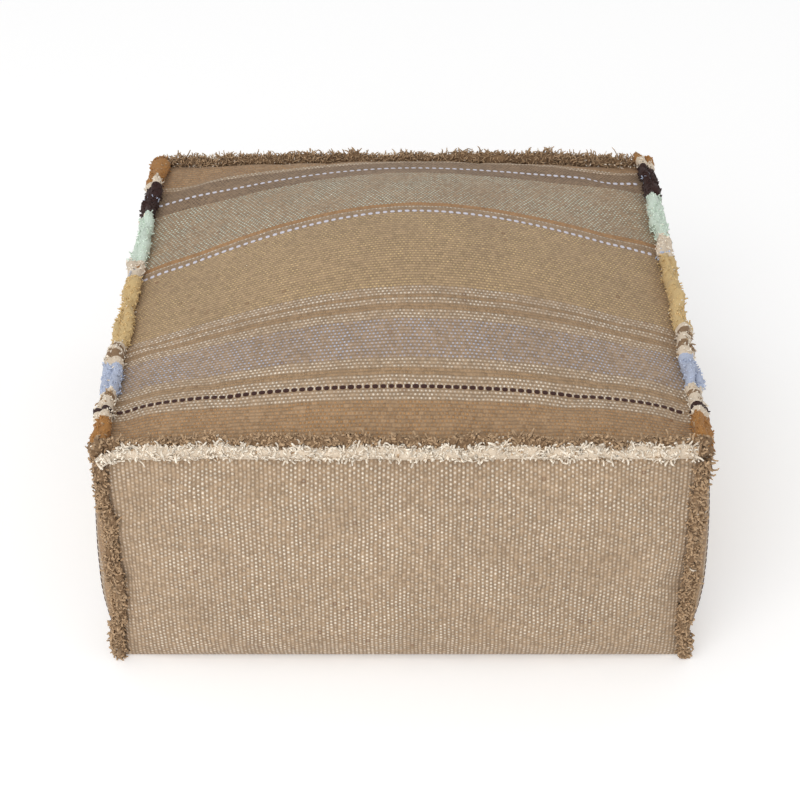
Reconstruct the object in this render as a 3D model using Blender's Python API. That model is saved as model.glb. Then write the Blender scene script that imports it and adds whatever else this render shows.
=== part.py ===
"""A cube pouf: one stuffed box cushion with frayed edges standing outside its seams.

Metres, +Z up. The origin is at the middle of the base, on the surface the pouf stands on,
and the front faces -Y. The cushion is a box whose seams are straight and whose five visible
panels swell between them. Each upper and upright seam carries two rows of frayed yarn, one for
the edge of each panel that meets there.
"""
import math
import random

import bmesh
import bpy
from mathutils import Matrix, Vector

# Driving dimensions of the stuffed body.
SIDE = 0.600                # from seam to seam, both ways
SEAM_HEIGHT = 0.268         # from the base to the upper seams
SEAM_WIDTH = 0.004          # how far each seam's slanted face reaches into its two panels
CROWN = 0.0775              # how far the top's middle stands above its seams
CROWN_FALL = 1.8            # the higher, the flatter the crown's middle
CROWN_EDGE = (1.185, 0.812)  # how softly the crown leaves the side seams, and the front and back
SIDE_BULGE = 0.040          # how far the left and right panels swell out past their seams
FRONT_BULGE = 0.028         # the same for the front and back panels
BULGE_FALL = 3.0            # the higher, the flatter a side panel's middle
BULGE_EDGE = 0.5            # how softly a side panel leaves the upright seams
SAG = 0.7                   # below 1, a side panel is fullest under half of its height
SAG_EDGE = 0.6              # how softly a side panel leaves the base and the upper seams
SIDE_CELLS = 22             # faces along a panel's long edge
HEIGHT_CELLS = 10           # faces up a side panel

# Driving dimensions of the frayed rows.
ROW_GAP = 0.0005            # between a row's strip and the cloth it stands on
STRIP_INSET = 0.0003        # between the seam's middle line and a strip
STRIP_THICK = 0.0024
STRIP_RISE = 0.006          # the strip that the roots share
LOCK_LENGTH = 0.013         # from the strip to a lock's tip
LOCK_TO_GAP = 1.8           # a lock's width at its root, in gaps between two locks
CORNER_INSET = 0.007        # what a row leaves free at the top's corners
FLOOR_GAP = 0.002           # between an upright row and the floor
LONG_LOCKS = 26             # on a row along the top
UPRIGHT_LOCKS = 11          # on a row up a corner
SEED = 11

# A lock's steps outwards: part of its length, then width and thickness as parts of its root's.
LOCK_STEPS = (
    (0.50, 0.96, 1.90),
    (0.50, 0.62, 1.20),
)

# How far a row leans from the seam's diagonal towards its own panel, in degrees. Along the top
# both rows stand up, and up a corner both turn to the front or back.
LEANS = {
    "top": 40,
    "side_of_top": -14,
    "front_of_corner": 36,
    "side_of_corner": -8,
}
TILT_SPREAD = (-3, 12)      # what chance adds to a lock's lean, in degrees
BEND_SPREAD = 0.0022        # how far a step of a lock may turn along the seam
REACH_SPREAD = (0.82, 1.12)

PANELS = {
    "top": Vector((0, 0, 1)),
    "front": Vector((0, -1, 0)),
    "back": Vector((0, 1, 0)),
    "left": Vector((-1, 0, 0)),
    "right": Vector((1, 0, 0)),
}

# Seams with frayed rows, as the two panels that meet there.
SEAMS = (
    ("top", "front"),
    ("top", "back"),
    ("top", "left"),
    ("top", "right"),
    ("front", "left"),
    ("front", "right"),
    ("back", "left"),
    ("back", "right"),
)

COLOURS = {
    "undyed_weave": "A98D6C",
    "tan_yarn": "8C6F50",
    "cream_yarn": "DCCAB2",
    "rust_yarn": "A87A45",
    "dark_yarn": "47342F",
    "sky_yarn": "A9B6CF",
    "mustard_yarn": "B8935A",
    "mint_yarn": "B4C7B1",
}

# Weft yarns that end in the rows along the left and right of the top: a yarn's colour, and where
# its band ends as a part of the seam's length from the front.
BANDS = (
    ("rust_yarn", 0.10),
    ("cream_yarn", 0.26),
    ("sky_yarn", 0.32),
    ("mustard_yarn", 0.59),
    ("mint_yarn", 0.80),
    ("dark_yarn", 0.92),
    ("rust_yarn", 1.00),
)


def linear(level):
    """An sRGB level from 0 to 1 as linear light."""
    if level <= 0.04045:
        return level / 12.92
    return ((level + 0.055) / 1.055) ** 2.4


def yarn_material(name):
    """The matt material of one yarn or cloth, made once."""
    found = bpy.data.materials.get(name)
    if found:
        return found
    digits = COLOURS[name]
    channels = [linear(int(digits[i:i + 2], 16) / 255) for i in (0, 2, 4)]
    material = bpy.data.materials.new(name)
    material.use_nodes = True
    shader = material.node_tree.nodes["Principled BSDF"]
    shader.inputs["Base Color"].default_value = (*channels, 1)
    shader.inputs["Roughness"].default_value = 0.9
    shader.inputs["Metallic"].default_value = 0
    return material


def new_object(name, mesh, parent):
    """A named object in the scene, under its parent."""
    piece = bpy.data.objects.new(name, mesh)
    bpy.context.collection.objects.link(piece)
    piece.parent = parent
    return piece


def fall(place, power, edge):
    """1 in a panel's middle and 0 at its seams, where place is -1 and 1."""
    return max(0.0, 1 - abs(place) ** power) ** edge


def grid_lines(cells):
    """Places from -1 to 1 that crowd towards the ends, where the cloth turns fastest."""
    even = [2 * index / cells - 1 for index in range(cells + 1)]
    return [(place + math.sin(math.pi / 2 * place)) / 2 for place in even]


def cut_grid(bm, axis, middle, reach, cells):
    """Cut the whole box across one axis, at each grid line but the outermost two."""
    normal = Vector((0, 0, 0))
    normal[axis] = 1
    for line in grid_lines(cells)[1:-1]:
        place = normal * (middle + reach * line)
        everything = bm.verts[:] + bm.edges[:] + bm.faces[:]
        bmesh.ops.bisect_plane(bm, geom=everything, plane_co=place, plane_no=normal)


def swell(point):
    """Where a point of the flat-sided box goes when the cushion is stuffed."""
    reach = SIDE / 2 - SEAM_WIDTH
    across = point.x / reach
    along = point.y / reach
    up = (point.z - SEAM_WIDTH) / (SEAM_HEIGHT - 2 * SEAM_WIDTH)
    moved = point.copy()
    tolerance = 1e-6
    if point.z > SEAM_HEIGHT - tolerance:
        lift = fall(across, CROWN_FALL, CROWN_EDGE[0]) * fall(along, CROWN_FALL, CROWN_EDGE[1])
        moved.z += CROWN * lift
    height = fall(2 * max(up, 0.0) ** SAG - 1, 2, SAG_EDGE)
    if abs(point.y) > SIDE / 2 - tolerance:
        moved.y += math.copysign(FRONT_BULGE * fall(across, BULGE_FALL, BULGE_EDGE) * height, point.y)
    if abs(point.x) > SIDE / 2 - tolerance:
        moved.x += math.copysign(SIDE_BULGE * fall(along, BULGE_FALL, BULGE_EDGE) * height, point.x)
    return moved


def make_body(parent):
    """The filled cushion: a box cut into a grid, its seams beveled, its panels swollen."""
    bm = bmesh.new()
    bmesh.ops.create_cube(bm, size=1)
    bmesh.ops.scale(bm, verts=bm.verts, vec=(SIDE, SIDE, SEAM_HEIGHT))
    bmesh.ops.translate(bm, verts=bm.verts, vec=(0, 0, SEAM_HEIGHT / 2))
    cut_grid(bm, 0, 0, SIDE / 2, SIDE_CELLS)
    cut_grid(bm, 1, 0, SIDE / 2, SIDE_CELLS)
    cut_grid(bm, 2, SEAM_HEIGHT / 2, SEAM_HEIGHT / 2, HEIGHT_CELLS)
    seams = [edge for edge in bm.edges if edge.calc_face_angle() > math.radians(45)]
    bmesh.ops.bevel(bm, geom=seams, offset=SEAM_WIDTH, segments=1, affect="EDGES")
    base = [face for face in bm.faces if face.normal.z < -0.99]
    bmesh.ops.dissolve_faces(bm, faces=base)
    for vertex in bm.verts:
        vertex.co = swell(vertex.co)
    mesh = bpy.data.meshes.new("pouf_body")
    bm.to_mesh(mesh)
    bm.free()
    mesh.materials.append(yarn_material("undyed_weave"))
    mesh.shade_smooth()
    mesh.set_sharp_from_angle(angle=math.radians(40))
    new_object("pouf_body", mesh, parent)


def seam_place(own, other, upright):
    """The middle and the length of the row that stands on a seam."""
    middle = Vector((0, 0, SEAM_HEIGHT / 2))
    for axis, half in enumerate((SIDE / 2, SIDE / 2, SEAM_HEIGHT / 2)):
        middle[axis] += (own[axis] + other[axis]) * (half - SEAM_WIDTH / 2)
    if not upright:
        return middle, SIDE - 2 * CORNER_INSET
    length = SEAM_HEIGHT - FLOOR_GAP - CORNER_INSET
    middle.z = FLOOR_GAP + length / 2
    return middle, length


def seam_turn(own, other):
    """A row's turn: its X runs along the seam, its Y over to its own panel and its Z outwards."""
    outward = (own + other).normalized()
    over = (own - other).normalized()
    return Matrix((over.cross(outward), over, outward)).transposed().to_4x4()


def space_cells(bm, length, locks):
    """Widen every second cell of an evenly cut strip, to be the roots of its locks."""
    cells = 2 * locks + 1
    gap = length / (locks + 1 + locks * LOCK_TO_GAP)
    for vertex in bm.verts:
        before = round((vertex.co.x / length + 0.5) * cells)
        wide = before // 2
        vertex.co.x = (wide * LOCK_TO_GAP + before - wide) * gap - length / 2


def grow_lock(bm, face, lean, draw):
    """Draw one cell of a strip's outer side out into a lock that bends and tapers."""
    tilt = math.radians(draw.uniform(*TILT_SPREAD))
    bend = draw.uniform(-BEND_SPREAD, BEND_SPREAD)
    reach = LOCK_LENGTH * draw.uniform(*REACH_SPREAD)
    width = thickness = 1.0
    for step, (part, step_width, step_thickness) in enumerate(LOCK_STEPS, start=1):
        face = bmesh.ops.extrude_discrete_faces(bm, faces=[face])["faces"][0]
        angle = lean + tilt * step
        move = (bend * step, math.sin(angle) * part * reach, math.cos(angle) * part * reach)
        bmesh.ops.translate(bm, verts=face.verts, vec=move)
        to_centre = Matrix.Translation(-face.calc_center_median())
        growth = (step_width / width, step_thickness / thickness, 1)
        bmesh.ops.scale(bm, verts=face.verts, vec=growth, space=to_centre)
        width = step_width
        thickness = step_thickness


def row_mesh(name, length, locks, lean, draw):
    """One strip with its locks, in the row's own axes."""
    bm = bmesh.new()
    bmesh.ops.create_cube(bm, size=1)
    bmesh.ops.scale(bm, verts=bm.verts, vec=(length, STRIP_THICK, STRIP_RISE))
    lift = (0, STRIP_INSET + STRIP_THICK / 2, ROW_GAP + STRIP_RISE / 2)
    bmesh.ops.translate(bm, verts=bm.verts, vec=lift)
    for vertex in bm.verts:
        vertex.co.y += math.tan(lean) * (vertex.co.z - ROW_GAP)
    long_edges = [e for e in bm.edges if abs(e.verts[0].co.x - e.verts[1].co.x) > length / 2]
    bmesh.ops.subdivide_edges(bm, edges=long_edges, cuts=2 * locks, use_grid_fill=True)
    space_cells(bm, length, locks)
    outer = [face for face in bm.faces if face.normal.z > 0.9]
    outer.sort(key=lambda face: face.calc_center_median().x)
    for face in outer[1::2]:
        grow_lock(bm, face, lean, draw)
    mesh = bpy.data.meshes.new(name)
    bm.to_mesh(mesh)
    bm.free()
    return mesh


def band_at(part):
    """The index of the weft band at a part of the seam's length from the front."""
    for index, (_, end) in enumerate(BANDS):
        if part <= end:
            return index
    return len(BANDS) - 1


def row_yarns(own, other):
    """The yarns of the row that one panel's edge makes at its seam with another."""
    pair = {own, other}
    if "top" in pair and pair & {"left", "right"}:
        return [name for name, _ in BANDS]
    if other == "top":
        return ["cream_yarn"]
    return ["tan_yarn"]


def row_lean(own, other):
    """How far a row leans to its own panel, in radians."""
    if own == "top":
        return math.radians(LEANS["top"])
    if other == "top":
        return math.radians(LEANS["side_of_top"])
    if own in ("front", "back"):
        return math.radians(LEANS["front_of_corner"])
    return math.radians(LEANS["side_of_corner"])


def make_row(own, other, draw, parent):
    """The frayed edge of panel own where it is sewn to panel other."""
    name = f"fringe_{own}_{other}"
    upright = "top" not in (own, other)
    locks = UPRIGHT_LOCKS if upright else LONG_LOCKS
    middle, length = seam_place(PANELS[own], PANELS[other], upright)
    turn = seam_turn(PANELS[own], PANELS[other])
    mesh = row_mesh(name, length, locks, row_lean(own, other), draw)
    yarns = row_yarns(own, other)
    for yarn in yarns:
        mesh.materials.append(yarn_material(yarn))
    if len(yarns) > 1:
        for face in mesh.polygons:
            from_front = (turn @ face.center).y / SIDE + 0.5
            face.material_index = band_at(from_front)
    row = new_object(name, mesh, parent)
    row.location = middle
    row.rotation_euler = turn.to_euler()


def main():
    """Clear the scene and make the cushion and its frayed rows."""
    for old in list(bpy.data.objects):
        bpy.data.objects.remove(old, do_unlink=True)
    draw = random.Random(SEED)
    pouf = bpy.data.objects.new("pouf", None)
    bpy.context.collection.objects.link(pouf)
    make_body(pouf)
    for first, second in SEAMS:
        make_row(first, second, draw, pouf)
        make_row(second, first, draw, pouf)


main()
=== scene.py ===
"""The looks of a cube pouf: hand-woven striped cotton, stuffed tight, with its cut edges left
to fray outside the seams.

Laid out as an add-on and run as a script. Metres, +Z up. The front panel faces -Y, and the
origin is at the middle of the base.
"""
import math

import bmesh
import bpy
import numpy as np
from bpy.props import FloatProperty, FloatVectorProperty, IntProperty, PointerProperty
from mathutils import Matrix, Vector
from mathutils.bvhtree import BVHTree


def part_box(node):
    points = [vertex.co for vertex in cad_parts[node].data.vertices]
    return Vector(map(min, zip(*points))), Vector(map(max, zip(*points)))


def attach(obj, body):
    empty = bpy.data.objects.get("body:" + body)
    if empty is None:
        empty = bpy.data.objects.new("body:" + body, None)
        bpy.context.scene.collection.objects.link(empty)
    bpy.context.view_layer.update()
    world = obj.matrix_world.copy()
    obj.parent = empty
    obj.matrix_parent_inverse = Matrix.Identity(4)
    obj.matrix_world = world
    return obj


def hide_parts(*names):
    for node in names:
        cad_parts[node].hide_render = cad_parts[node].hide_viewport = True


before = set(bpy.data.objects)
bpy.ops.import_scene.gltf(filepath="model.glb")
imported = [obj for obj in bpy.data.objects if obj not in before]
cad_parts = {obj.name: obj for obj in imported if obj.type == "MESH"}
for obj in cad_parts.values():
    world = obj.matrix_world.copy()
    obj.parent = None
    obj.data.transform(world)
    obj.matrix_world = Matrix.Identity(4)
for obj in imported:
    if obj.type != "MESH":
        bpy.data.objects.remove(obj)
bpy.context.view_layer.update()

bl_info = {
    "name": "Cube pouf",
    "version": (1, 0, 0),
    "blender": (4, 5, 0),
    "location": "3D View > Sidebar > Pouf",
    "description": "Builds a stuffed cube pouf of striped cotton with frayed seams",
    "category": "Add Mesh",
}

MILLIMETRE = 0.001

# The stuffed body in the frame, from which the bulges are worked out.
_, BODY_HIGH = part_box("pouf_body")
SIDE = 0.600                 # from seam to seam
SEAM_HEIGHT = 0.268          # from the floor to the upper seams

# How the panels swell. The falls say how flat a panel's middle is, and the edges how softly it
# leaves its seams.
SEAM_WIDTH = 0.004           # how far the rounded seam reaches into its panels
CROWN_FALL = 1.8
CROWN_EDGE = (1.185, 0.812)  # at the side seams, and at the front and back
BACK_ROLL = 0.011            # how much fuller the crown is close to the back seam
BACK_ROLL_PLACE = 0.015      # where that is, from the seam
BACK_ROLL_FALL = 2.5
BULGE_FALL = 2.4
BULGE_EDGE = 0.45
SAG = 0.57                   # below 1, a side panel is fullest under half of its height
SAG_EDGE = 0.5
FILL_STEPS = 20              # in which the filling presses the cover out

# The frayed rows, as their strips stand in the frame.
ROW_GAP = 0.0005             # between a seam and its two strips
STRIP_INSET = 0.0003         # half the gap between the two strips of a seam
STRIP_THICK = 0.0024
CORNER_INSET = 0.003         # what a row leaves free at the top's corners
FLOOR_GAP = 0.002            # between an upright row and the floor

PANELS = {
    "top": Vector((0, 0, 1)),
    "front": Vector((0, -1, 0)),
    "back": Vector((0, 1, 0)),
    "left": Vector((-1, 0, 0)),
    "right": Vector((1, 0, 0)),
    "base": Vector((0, 0, -1)),
}
SEAMS = (
    ("top", "front"),
    ("top", "back"),
    ("top", "left"),
    ("top", "right"),
    ("front", "left"),
    ("front", "right"),
    ("back", "left"),
    ("back", "right"),
)

SIDE_CLOTH_SHIFT = 0.016     # how much further along the cloth the two sides are cut
SIDE_CLOTH_LEAN = 0.028      # and how much further still at the floor, since they are cut askew
FADE_REACH = 0.10            # how far from an upright seam the plain cloth's dots fade

# Weft bands of the striped cloth along the middle of the top. Columns: where the band ends, in
# millimetres of cloth from the front seam, its yarn, and how far its yarn tints the warp.
CLOTH_LENGTH = 629
WEFT_BANDS = (
    (63.0, "rust", 0.15),
    (76.5, "cream", 0.06),
    (81.0, "tan", 0.00),
    (94.5, "cream", 0.06),
    (103.5, "brown", 0.15),
    (117.0, "cream", 0.06),
    (171.0, "sky", 0.05),
    (184.5, "cream", 0.06),
    (193.5, "brown", 0.15),
    (202.5, "cream", 0.06),
    (207.0, "brown", 0.15),
    (220.5, "cream", 0.06),
    (369.0, "mustard", 0.12),
    (382.5, "tan", 0.00),
    (387.0, "cream", 0.06),
    (396.0, "rust", 0.75),
    (517.5, "mint", 0.00),
    (580.5, "dark", 0.26),
    (589.5, "cream", 0.06),
    (629.0, "rust", 0.15),
)

# Rows of raised floats, each a thick yarn carried over the warp. Columns: the row's middle in
# millimetres of cloth from the front seam, its yarn, a float's length, width and height, and
# whether a thin cream thread shows between two floats.
FLOAT_ROWS = (
    (79.4, "dark", 5.9, 5.1, 1.4, True),
    (372.0, "pale_sky", 5.4, 4.8, 1.6, False),
    (547.0, "pale_sky", 5.4, 4.8, 1.6, False),
)
TIE_SIZE = (1.0, 4.4, 0.9)   # length, width and height of that thread, in millimetres
FLOAT_MARGIN = (0.010, 0.008)  # what a row leaves free at its start and at its end
FLOAT_SPREAD = (0.90, 1.08)  # the smallest and the largest, as parts of the usual size
FLOAT_LIGHT_WAY = 0.9              # floats take the painted light of this part of the way up a loose ply, as they stand up into the open
TIE_SHADE_WAY = 0.1                # and the thread between them the painted shade of this part, sunk between the floats
FLOAT_SEED = 5

# How the bands run askew on the top. Columns: part of the way from the front seam to the back
# one, how far a band leans from left to right, how far both of its ends lie back, and how far it
# turns forward close to the side seams, as parts of the cloth's length.
BAND_SKEW = (
    (0.00, 0.0000, 0.0000, 0.000),
    (0.13, 0.0000, -0.0035, 0.014),
    (0.35, -0.0260, 0.0000, 0.000),
    (0.60, -0.0475, 0.0035, 0.000),
    (0.87, -0.0505, -0.0175, 0.000),
    (1.00, -0.0250, 0.0000, 0.000),
)
TURN_POWER = 12              # how close to the side seams that turn is

# Yarns that end in the rows along the top's left and right seams. Columns: where the band ends at
# the left and at the right, in millimetres from the front seam, its yarn, a second yarn, and the
# second one's share at the left and at the right.
END_BANDS = (
    (12, 8, "loose_tan", "loose_cream", 0.20, 0.40),
    (54, 62, "rust", "loose_tan", 0.15, 0.15),
    (63, 70, "loose_cream", "loose_tan", 0.10, 0.10),
    (69, 77, "dark", "loose_cream", 0.35, 0.35),
    (90, 98, "loose_cream", "loose_tan", 0.12, 0.12),
    (97, 104, "loose_tan", "loose_cream", 0.40, 0.40),
    (102, 111, "loose_cream", "loose_tan", 0.10, 0.10),
    (150, 166, "sky", "loose_cream", 0.08, 0.08),
    (162, 180, "loose_cream", "loose_tan", 0.10, 0.10),
    (170, 190, "loose_tan", "loose_cream", 0.40, 0.40),
    (180, 202, "loose_cream", "loose_tan", 0.15, 0.15),
    (186, 210, "loose_tan", "loose_cream", 0.45, 0.45),
    (191, 220, "loose_cream", "loose_tan", 0.10, 0.10),
    (323, 367, "mustard", "loose_cream", 0.04, 0.04),
    (341, 384, "sky", "loose_cream", 0.75, 0.70),
    (347, 392, "rust", "loose_cream", 0.75, 0.75),
    (359, 410, "loose_cream", "rust", 0.10, 0.10),
    (460, 507, "mint", "loose_cream", 0.08, 0.08),
    (498, 546, "dark", "dark", 0.0, 0.0),
    (506, 553, "sky", "dark", 0.55, 0.55),
    (530, 580, "dark", "dark", 0.0, 0.0),
    (543, 590, "loose_cream", "loose_cream", 0.0, 0.0),
    (600, 600, "rust", "loose_tan", 0.15, 0.40),
)

# How each kind of row stands. Columns: its lean from the seam's diagonal to its own panel, and
# how much further it leans, at the back end of a side row, at the left end of the others or where
# an upright row is spread the most, both in degrees; the depth and half the thickness of its
# matted heart, in millimetres; its kind of loose plies, and its slot.
ROW_KINDS = {
    "top_at_front": (54, 0, 20.0, 4.2, "curled", "tan_fringe"),
    "top_at_back": (32, 0, 15.5, 4.0, "hairy", "tan_fringe"),
    "top_at_side": (24, 26, 17.5, 6.4, "felted", "striped_fringe"),
    "front_at_top": (-34, 46, 17.0, 5.4, "thick", "cream_fringe"),
    "back_at_top": (6, 0, 12.0, 4.0, "hairy", "cream_fringe"),
    "side_at_top": (-2, -24, 16.0, 6.2, "felted", "striped_fringe"),
    "end_at_corner": (6, 60, 11.8, 4.3, "curled", "tan_fringe"),
    "side_at_corner": (6, -44, 11.0, 4.1, "curled", "tan_fringe"),
}

# The yarns of each slot's rows, the most common one first.
ROW_YARNS = {
    "tan_fringe": ["loose_tan", "loose_cream"],
    "cream_fringe": ["loose_cream", "loose_tan"],
    "striped_fringe": ["loose_cream", "loose_tan", "rust", "dark", "sky", "mustard", "mint"],
}

# The loose plies on the matted hearts. Columns: how far a ply lies over from standing straight
# up and the spread of that, in degrees, how strictly the plies are combed away from the seam, and
# a ply's length and width in millimetres.
LOOSE_PLIES = {
    "curled": (74, 12, 0.7, 7.6, 2.9),
    "felted": (78, 14, 0.7, 4.4, 2.1),
    "thick": (74, 13, 1.7, 7.8, 2.6),
    "hairy": (46, 14, 0.9, 8.8, 1.8),
}

# How the upright rows shift over the front or back panel. Columns: part of the way down from the
# upper seam, and the shift as a part of its most.
CORNER_SPREAD = {
    "left": (
        (0.00, 0.00), (0.21, 0.05), (0.27, 0.85), (0.48, 0.90), (0.52, 0.75), (0.60, 1.00),
        (0.76, 1.00), (0.81, 0.20), (0.88, 0.05), (0.93, 0.00), (1.00, -0.45),
    ),
    "right": (
        (0.00, 0.30), (0.12, 0.70), (0.30, 0.75), (0.42, 0.65), (0.60, 0.75), (0.70, 0.90),
        (0.84, 1.15), (0.92, 0.20), (1.00, -0.30),
    ),
}

# How a row wavers along its length. Columns: from one turn to the next, in metres, and how much.
WAVERS = {
    "lean": (0.016, math.radians(7)),
    "depth": (0.021, 0.13),
    "lump": (0.006, 0.05),
    "girth": (0.020, 0.16),
}
FAN_REACH = 0.012            # how far from its end a row begins to bulge out past it
FAN = 0.55                   # how far it bulges, as a part of its height there
BLUNT_REACH = 0.005          # how far from its end the heart begins to round off
BLUNT = (0.50, 0.12)         # by how much, over its thickness and its depth
LOW_ENDS = 0.60              # how much lower the back rows stand at their ends
END_BALL = 0.70              # how much thicker the left rows are at the back corner
END_BALL_REACH = 0.060
DIP_REACH = 0.014            # how far from its left end the cream row turns down
FOOT_TUCK = 0.45             # how much thinner an upright row is at the floor
FOOT_REACH = 0.030
ROW_SEED = 20

# The matted hearts. Over its section a heart runs from -1 at the seam to 1.
HEART_CELL = 0.003
HEART_BEVEL = 0.9            # how round the section is, where 1 is a full ellipse
HEART_LUMPS = (0.5, 0.93, 0.011)  # a second set of lumps: its strength, its pitch and its slant
LUMP_GIRTH = 1.5             # how much more a lump adds to the thickness than to the depth
HEART_NECK = (0.55, 0.45)    # the thickness at the seam, and what it gains further up
NECK_END = 1.6               # how far up from the seam it gains that
HEART_SHADE_WAY = 0.12             # a heart takes the painted shade of this part of the way up a ply, lying deep among the plies
HEART_CHANCE = (0.3, 0.6)    # and as light or dark as plies with these chances

# Which yarn a row shows where.
BAND_SHIFT = 0.004           # how far nearer the front the bands lie on top of a row
CREAM_END = 0.294            # where the cream row goes over into tan ends at the right corner
OTHER_YARN = {"cream_fringe": 0.02, "tan_fringe": 0.004}  # a second yarn's share in a row

# The loose plies.
PLY_SIDES = 3
PLY_SINK = 0.86              # how deep a ply's root sits, as a part of the heart's radius
PLY_AROUND = (-62, 242)      # where round the heart plies grow, in degrees from its own side
PLY_SPREAD = (0.35, 2.2, 0.22)  # how much plies differ in curl, in twist and in length
PLY_LENGTHS = (0.6, 2.0)     # the shortest and the longest ply, as parts of the usual one
PLY_WIDTHS = (0.75, 1.20)    # the thinnest and the thickest one
PLY_TAPER = 0.3              # how much thinner a ply is at its tip
PLY_HOMING = 0.9             # how strictly plies curl back to the heart
PLY_STRAY = 0.0012           # how far a ply of one yarn stands from the end of its band
END_PLIES = (0.004, 1.6)     # how near the row's end plies turn out past it, and how far
DROOP = 1.1                  # how strictly the plies of an upright row hang down
FLOOR_REST = 0.00175         # the middle of a ply that lies on the floor

# Patterns on the cloth and on the loose yarn. Their scale is in repeats a metre.
PATTERNS = {
    "wander": {"Scale": 26.0, "Detail": 3.0},       # how threads wander, over some 38 mm
    "sinking": {"Scale": 17.0, "Detail": 4.0},      # where dots sink under the warp, over 59 mm
    "patches": {"Scale": 9.0, "Detail": 3.0},       # lighter and darker cloth, over 111 mm
    "fibre": {"Scale": 420.0, "Detail": 2.0},       # the cloth's fibre, every 2.4 mm
    "ply_fibre": {"Scale": 700.0, "Detail": 2.0},   # a loose ply's fibre, every 1.4 mm
    "ply_relief": {"Scale": 480.0, "Detail": 2.0},  # and its relief, every 2.1 mm
}
WANDER = (1.1, 0.9, 0.0)     # how far threads wander, in cells along and across the rows
DOT_SCALE = (1 / 0.40, 1 / 0.42, 0.0)  # a weft dot takes up 0.80 of its cell by 0.84

# How much of its red, green and blue a yarn keeps at its root, where the light hardly reaches and
# has come off warm yarn.
ROOT_TINTS = {"loose_tan": (0.42, 0.37, 0.33), "loose_cream": (0.74, 0.67, 0.60)}
OTHER_ROOT_TINT = (0.80, 0.80, 0.80)
TIP_SHADE = 1.12             # how much paler a tip is: partly its loose fibre, partly painted light where it stands in the open

# The stage.
FLOOR_GLOW = 0.262           # how strongly the floor shines of itself
ROOM_LIGHT = 0.75            # how strongly the white room shines
LAMP_POWER = 38              # in watts
LAMP_WIDTH = 2.4
LAMP_PLACE = (-0.9, -2.2, 2.1)
LAMP_AIM = (0, 0, 0.2)


def linear(digits):
    """An sRGB colour, written as six hex digits, as linear light."""
    levels = [int(digits[start:start + 2], 16) / 255 for start in (0, 2, 4)]
    return [n / 12.92 if n <= 0.04045 else ((n + 0.055) / 1.055) ** 2.4 for n in levels]


def yarn_colour(name, description, digits):
    """The property of one yarn's colour."""
    return FloatVectorProperty(
        name=name, description=description, subtype="COLOR", min=0, max=1, default=linear(digits)
    )


class CushionSizes(bpy.types.PropertyGroup):
    """Sizes of the stuffed cushion."""

    side: FloatProperty(
        name="Side", description="From seam to seam, both ways", default=SIDE, unit="LENGTH"
    )
    seam_height: FloatProperty(
        name="Seam height", description="From the floor to the upper seams", default=SEAM_HEIGHT,
        unit="LENGTH",
    )
    crown: FloatProperty(
        name="Crown", description="How far the top's middle stands above its seams",
        default=BODY_HIGH.z - SEAM_HEIGHT, unit="LENGTH",
    )
    side_bulge: FloatProperty(
        name="Side bulge",
        description="How far the left and right panels swell out past their seams",
        default=BODY_HIGH.x - SIDE / 2, unit="LENGTH",
    )
    front_bulge: FloatProperty(
        name="Front bulge",
        description="How far the front and back panels swell out past their seams",
        default=BODY_HIGH.y - SIDE / 2, unit="LENGTH",
    )
    cells: IntProperty(
        name="Cells", description="Faces along a panel before it is smoothed", default=64
    )
    height_cells: IntProperty(
        name="Height cells", description="Faces up a side panel before it is smoothed", default=30
    )
    slack: FloatProperty(
        name="Slack",
        description="How much longer the cloth is than its seams, which puckers it there",
        default=0.008,
    )
    slackness: FloatProperty(
        name="Slackness",
        description="The part of its fullness that the cover may lack until the filling presses it out",
        default=0.20,
    )
    most_give: FloatProperty(
        name="Most give", description="How far the filling may push a point of the cloth",
        default=0.004, unit="LENGTH",
    )


class ClothSizes(bpy.types.PropertyGroup):
    """Sizes of the weave."""

    warp_pitch: FloatProperty(
        name="Warp pitch", description="From one warp thread of the striped cloth to the next",
        default=0.0021, unit="LENGTH",
    )
    weft_pitch: FloatProperty(
        name="Weft pitch", description="From one weft row of the striped cloth to the next",
        default=0.0045, unit="LENGTH",
    )
    plain_warp_pitch: FloatProperty(
        name="Plain warp pitch",
        description="From one warp thread of the front and back panels to the next",
        default=0.00224, unit="LENGTH",
    )
    plain_weft_pitch: FloatProperty(
        name="Plain weft pitch",
        description="From one weft row of the front and back panels to the next", default=0.0042,
        unit="LENGTH",
    )
    float_pitch: FloatProperty(
        name="Float pitch", description="From one raised float to the next along its row",
        default=0.0082, unit="LENGTH",
    )


class FrayedEdges(bpy.types.PropertyGroup):
    """Numbers and shape of the frayed yarn ends along the seams."""

    long_ends: IntProperty(
        name="Ends on a long row", description="Loose plies in a row along the top", default=2700
    )
    upright_ends: IntProperty(
        name="Ends on an upright row", description="Loose plies in a row up a corner", default=900
    )
    curl: FloatProperty(
        name="Curl", description="How far a ply turns from its root to its tip",
        default=math.radians(90), subtype="ANGLE",
    )
    steps: IntProperty(name="Steps", description="Straight parts in a bent ply", default=4)


class YarnColours(bpy.types.PropertyGroup):
    """Colours of the cotton yarns."""

    tan: yarn_colour("Tan", "The warp, all over the cloth", "A2886C")
    loose_tan: yarn_colour("Loose tan", "Warp ends where they fray", "B99C7B")
    cream: yarn_colour("Cream", "Undyed weft", "F4E9D8")
    loose_cream: yarn_colour("Loose cream", "Undyed weft ends where they fray", "EFE5D5")
    brown: yarn_colour("Brown", "Weft of the thin brown rows", "A17F58")
    rust: yarn_colour("Rust", "Weft of the front and back bands", "B17E47")
    dark: yarn_colour("Dark", "Weft and floats of the dark bands", "3C2521")
    sky: yarn_colour("Sky", "Weft of the light blue bands", "BEC7DC")
    pale_sky: yarn_colour("Pale sky", "Floats of the light blue rows", "C8C6D0")
    mustard: yarn_colour("Mustard", "Weft of the wide mustard band", "DCBE88")
    mint: yarn_colour("Mint", "Weft of the mint band", "DDECDD")
    fleck: yarn_colour("Fleck", "Specks of seed spun into the yarn", "6B452C")


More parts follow.
